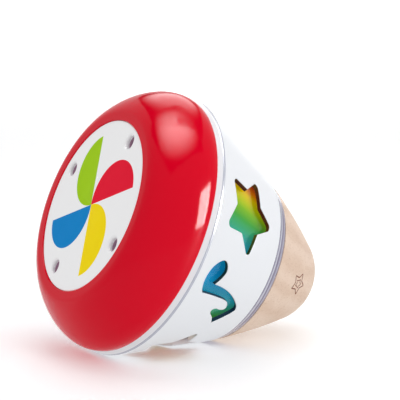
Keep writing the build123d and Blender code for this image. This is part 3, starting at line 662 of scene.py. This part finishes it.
def white_shell():
    """The shell as four equal sectors, each with a star and a note, with rounded window edges."""
    skin = Skin("windowed_shell", "white_shell", "outer_body", "white_plastic", "window_edge_painted_shade")
    windows = [(STAR_CLOCK, clean_loop(star_outline(), OUTLINE_SPACING)),
               (NOTE_CLOCK, clean_loop(note_outline(), OUTLINE_SPACING))]

    def on_map(spot, clock):
        """A window's own x and y, in mm, as a clock angle in degrees and a station."""
        station = WINDOW_STATION - spot.y * cos(TILT)
        return Vector((clock - spot.x / shell_radius(station) * 180 / pi, station))

    def normal_at(clock):
        around = radians(clock)
        outward = UPWARD * cos(around) + SIDEWARD * sin(around)
        return outward * cos(TILT) + NOSEWARD * sin(TILT)

    def place(where, depth=0.0):
        return at(where.y, shell_radius(where.y, depth), where.x)

    length = SHELL_END - SHELL_START
    stations = [SHELL_START + length * k / STATION_STEPS for k in range(STATION_STEPS + 1)]
    clocks = [SECTOR_START + 90 * k / CLOCK_STEPS for k in range(CLOCK_STEPS + 1)]
    border = [Vector((clock, stations[0])) for clock in clocks]
    border += [Vector((clocks[-1], station)) for station in stations[1:]]
    border += [Vector((clock, stations[-1])) for clock in reversed(clocks[:-1])]
    border += [Vector((clocks[0], station)) for station in reversed(stations[1:-1])]
    grid = [Vector((clock, station)) for clock in clocks[1:-1] for station in stations[1:-1]]

    for depth, growth in ((0.0, EDGE_ROUNDING), (SHELL_WALL, 0.0)):
        for quarter in range(4):
            cut = windows[:1] if quarter == PLAIN_QUARTER else windows
            openings = [[on_map(spot, clock) for spot in grown(loop, growth)] for clock, loop in cut]
            margins = [[on_map(spot, clock) for spot in grown(loop, growth + GRID_MARGIN)]
                       for clock, loop in cut]
            free = [spot for spot in grid if not any(inside(spot, margin) for margin in margins)]
            spots, triangles = triangulate([border] + openings, openings, free)
            turned = [Vector((spot.x + 90 * quarter, spot.y)) for spot in spots]
            side = 1 if depth == 0 else -1
            ids = [skin.point(place(spot, depth), normal_at(spot.x) * side) for spot in turned]
            for triangle in triangles:
                skin.face([ids[i] for i in triangle])

    for quarter in range(4):
        for clock, loop in windows[:1] if quarter == PLAIN_QUARTER else windows:
            rings = []
            leans = [pi / 2 * k / BEND_STEPS for k in range(BEND_STEPS + 1)]
            levels = [((1 - sin(a)) * EDGE_ROUNDING, (1 - cos(a)) * EDGE_ROUNDING) for a in leans]
            levels.append((0.0, SHELL_WALL))
            widest = grown(loop, EDGE_ROUNDING)
            for level, (growth, depth) in enumerate(levels):
                lean = leans[min(level, BEND_STEPS)]
                ring = []
                for near, far in zip(grown(loop, growth), widest):
                    here = on_map(near, clock + 90 * quarter)
                    inner = on_map(near + (near - far), clock + 90 * quarter)
                    up = normal_at(here.x)
                    inward = place(inner) - place(here)
                    inward = (inward - up * inward.dot(up)).normalized()
                    ring.append(skin.point(place(here, depth), up * cos(lean) + inward * sin(lean)))
                rings.append(ring)
            # the deeper rings of each window's edge take the material with its painted shade and reflection
            for level, (first, second) in enumerate(zip(rings, rings[1:])):
                skin.strip(first, second, 1 if level >= PAINTED_SHADE_LEVEL else 0)

    all_round = [SECTOR_START + 90 * k / CLOCK_STEPS for k in range(4 * CLOCK_STEPS)]
    for station, facing in ((stations[0], -NOSEWARD), (stations[-1], NOSEWARD)):
        rings = [[skin.point(at(station, shell_radius(station, depth), clock), facing)
                  for clock in all_round] for depth in (0.0, SHELL_WALL)]
        skin.strip(*rings)
    return skin.make()


# ---- burnt mark ---------------------------------------------------------------------------------
NOSE_START = Vector((78.05, 38.2))         # station and radius of points on the nose's side
NOSE_MIDDLE = Vector((93.1, 30.2))
NOSE_END = Vector((107.8, 21.16))
MARK_STATION = 98.0
MARK_CLOCK = 93.0
MARK_HEIGHT = 0.03         # of the line above the wood
MARK_STARS = (((5.8, 3.1), -0.5), ((2.9, 1.5), -0.4))       # tip and notch reach; growth across the line
MARK_ROUNDING = (0.5, 0.3)
MARK_SPACING = 0.5


def nose_radius(station):
    """Radius of the nose's side: a curve through its three points, bulging outward."""
    span, drop = NOSE_END - NOSE_START
    share = (station - NOSE_START.x) / span
    bow = NOSE_MIDDLE.y - (NOSE_START.y + drop * (NOSE_MIDDLE.x - NOSE_START.x) / span)
    return NOSE_START.y + drop * share + 4 * bow * share * (1 - share)


def burnt_mark():
    """Two plain star outlines, one inside the other, burnt into the wood."""
    skin = Skin("burnt_mark", None, "outer_body", "burnt_line")
    turns = [radians(36 * i) for i in range(10)]
    for reach, inner in MARK_STARS:
        corners = [(reach[i % 2] * cos(turn), reach[i % 2] * sin(turn)) for i, turn in enumerate(turns)]
        outline = clean_loop(round_corners(corners, MARK_ROUNDING * 5, 4), MARK_SPACING)
        rings = []
        for growth in (0.0, inner):
            ring = []
            for spot in grown(outline, growth):
                station = MARK_STATION + spot.x
                clock = MARK_CLOCK + degrees(spot.y / nose_radius(station))
                around = radians(clock)
                outward = UPWARD * cos(around) + SIDEWARD * sin(around)
                ring.append(skin.point(at(station, nose_radius(station) + MARK_HEIGHT, clock), outward))
            rings.append(ring)
        skin.strip(*rings)
    return skin.make()


face_disc()
white_shell()
burnt_mark()


# ---- stage: floor, lights, camera ---------------------------------------------------------------
FLOOR_GREY = 247
FLOOR_ROUGHNESS = 0.5
FLOOR_GLOW = 0.14
FLOOR_HALF = 3.0
BACKDROP_AWAY = Vector((0.50, 0.8566, 0))    # from the toy, past it as the camera looks
BACKDROP_DISTANCE = 2.4
BACKDROP_HALF = 0.9
BACKDROP_HEIGHT = 0.45
BACKDROP_GLOW = 1.05
LAMP_DISTANCE = 0.8        # from the toy's middle
CARD_HEIGHT = 0.8          # above the toy's middle
CAMERA_AZIMUTH = 210.305   # from +Y toward +X
CAMERA_ELEVATION = 7.2102
CAMERA_FROM_FACE = Vector((-251.2, -523.4, 75.1))
CAMERA_LENS = 121.96
CAMERA_SENSOR = 36.0


def floor():
    """A wide, matt white table, left out of the light that bounces up at the toy."""
    nodes = Nodes("table")
    where = nodes.position()
    nodes.set(Base_Color=srgb(FLOOR_GREY, FLOOR_GREY, FLOOR_GREY + 1))
    smears = nodes.noise(40.0, 3.0, vector=where)
    nodes.set(Roughness=nodes.spread(smears, FLOOR_ROUGHNESS - 0.03, FLOOR_ROUGHNESS + 0.03))
    nodes.set(Specular_IOR_Level=0.15, Emission_Color=(1.0, 1.0, 1.0, 1.0), Emission_Strength=FLOOR_GLOW)
    mesh = bpy.data.meshes.new("table")
    corners = [(-1, -1), (1, -1), (1, 1), (-1, 1)]
    mesh.from_pydata([(FLOOR_HALF * x, FLOOR_HALF * y, 0) for x, y in corners], [], [(0, 1, 2, 3)])
    table = bpy.data.objects.new("table", mesh)
    bpy.context.scene.collection.objects.link(table)
    mesh.materials.append(nodes.material)
    table.visible_diffuse = False


def backdrop():
    """An evenly lit white sheet behind the toy."""
    nodes = Nodes("backdrop")
    nodes.set(Base_Color=srgb(255, 255, 255), Emission_Color=(1.0, 1.0, 1.0, 1.0),
              Emission_Strength=BACKDROP_GLOW)
    mesh = bpy.data.meshes.new("backdrop")
    middle = BACKDROP_AWAY * BACKDROP_DISTANCE
    across = Vector((BACKDROP_AWAY.y, -BACKDROP_AWAY.x, 0)) * BACKDROP_HALF
    top = Vector((0, 0, BACKDROP_HEIGHT))
    mesh.from_pydata([middle - across, middle + across, middle + across + top, middle - across + top],
                     [], [(0, 1, 2, 3)])
    sheet = bpy.data.objects.new("backdrop", mesh)
    bpy.context.scene.collection.objects.link(sheet)
    mesh.materials.append(nodes.material)


def softbox(name, azimuth, elevation, width, height, brightness, roll=0.0, mirrored=False):
    """Lamp aimed at the toy; the azimuth runs from +Y toward +X, and brightness is its radiance.

    A mirrored lamp shows only in reflections, and the others light only matt surfaces.
    """
    light = bpy.data.lights.new(name, "AREA")
    light.shape = "RECTANGLE"
    light.size, light.size_y = width, height
    light.energy = brightness * pi * width * height
    around, rise = radians(azimuth), radians(elevation)
    away = Vector((sin(around) * cos(rise), cos(around) * cos(rise), sin(rise)))
    lamp = bpy.data.objects.new(name, light)
    lamp.location = (cad_low + cad_high) / 2 + away * LAMP_DISTANCE
    aim = (-away).to_track_quat("-Z", "Y").to_matrix() @ Matrix.Rotation(radians(roll), 3, "Z")
    lamp.rotation_euler = aim.to_euler()
    lamp.visible_diffuse, lamp.visible_glossy = not mirrored, mirrored
    lamp.visible_transmission = not mirrored
    bpy.context.scene.collection.objects.link(lamp)


def card(name, centre, azimuth, half_width, half_length, brightness, core):
    """Glowing sheet overhead, seen only in reflections, bright in its core and dark at its edge."""
    nodes = Nodes(name)
    mesh = bpy.data.meshes.new(name)
    corners = [(-1, -1), (1, -1), (1, 1), (-1, 1)]
    mesh.from_pydata([(half_width * x, half_length * y, 0) for x, y in corners], [], [(0, 1, 2, 3)])
    shares = {0: nodes.position(), 1: (1 / half_width, 1 / half_length, 0)}
    scaled = nodes.add("VectorMath", shares, operation="MULTIPLY").outputs[0]
    reach = nodes.add("VectorMath", {0: scaled}, operation="LENGTH").outputs["Value"]
    edges = {"Value": reach, "From Min": 1.0, "From Max": core, "To Min": 0.0, "To Max": brightness}
    fade = nodes.add("MapRange", edges, interpolation_type="SMOOTHSTEP").outputs[0]
    glow = nodes.add("Emission", {"Color": (1.0, 1.0, 1.0, 1.0), "Strength": fade}).outputs[0]
    nodes.feed(nodes.tree.nodes["Material Output"].inputs["Surface"], glow)
    mesh.materials.append(nodes.material)
    sheet = bpy.data.objects.new(name, mesh)
    middle = (cad_low + cad_high) / 2
    sheet.location = middle + Vector((centre[0], centre[1], CARD_HEIGHT))
    sheet.rotation_euler = (0, 0, -radians(azimuth))
    sheet.visible_diffuse = sheet.visible_transmission = sheet.visible_shadow = False
    bpy.context.scene.collection.objects.link(sheet)


def world(strength):
    """Even white surroundings."""
    sky = bpy.data.worlds.new("studio")
    sky.use_nodes = True
    sky.node_tree.nodes["Background"].inputs[0].default_value = (1.0, 1.0, 1.0, 1.0)
    sky.node_tree.nodes["Background"].inputs[1].default_value = strength
    bpy.context.scene.world = sky


def camera():
    """The camera stands to the right of the face and a little above it, and looks along the floor."""
    lens = bpy.data.cameras.new("camera")
    lens.sensor_width = CAMERA_SENSOR
    lens.lens = CAMERA_LENS
    eye = bpy.data.objects.new("camera", lens)
    around, rise = radians(CAMERA_AZIMUTH), radians(CAMERA_ELEVATION)
    right = Vector((-cos(around), sin(around), 0.0))
    back = Vector((sin(around) * cos(rise), cos(around) * cos(rise), sin(rise)))
    up = back.cross(right)
    place = FACE_CENTRE + CAMERA_FROM_FACE * MM
    eye.matrix_world = Matrix.Translation(place) @ Matrix((right, up, back)).transposed().to_4x4()
    lens.clip_start, lens.clip_end = 0.05, 20.0
    bpy.context.scene.collection.objects.link(eye)
    bpy.context.scene.camera = eye


floor()
backdrop()
world(0.77)
bpy.context.scene.view_settings.view_transform = "Standard"
softbox("overhead_softbox", 60, 75, width=0.7, height=0.7, brightness=0.85)
softbox("fill_softbox", 160, 12, width=0.4, height=0.4, brightness=2.8)
softbox("side_softbox", 151, 15, width=0.46, height=0.44, brightness=60.0, roll=-10.0, mirrored=True)
card("round_card", (-0.05, 0.08), 0, half_width=0.42, half_length=0.42, brightness=20.0, core=0.19)
card("long_card", (0.60, 1.0), 32, half_width=0.46, half_length=1.05, brightness=3.0, core=0.5)
camera()
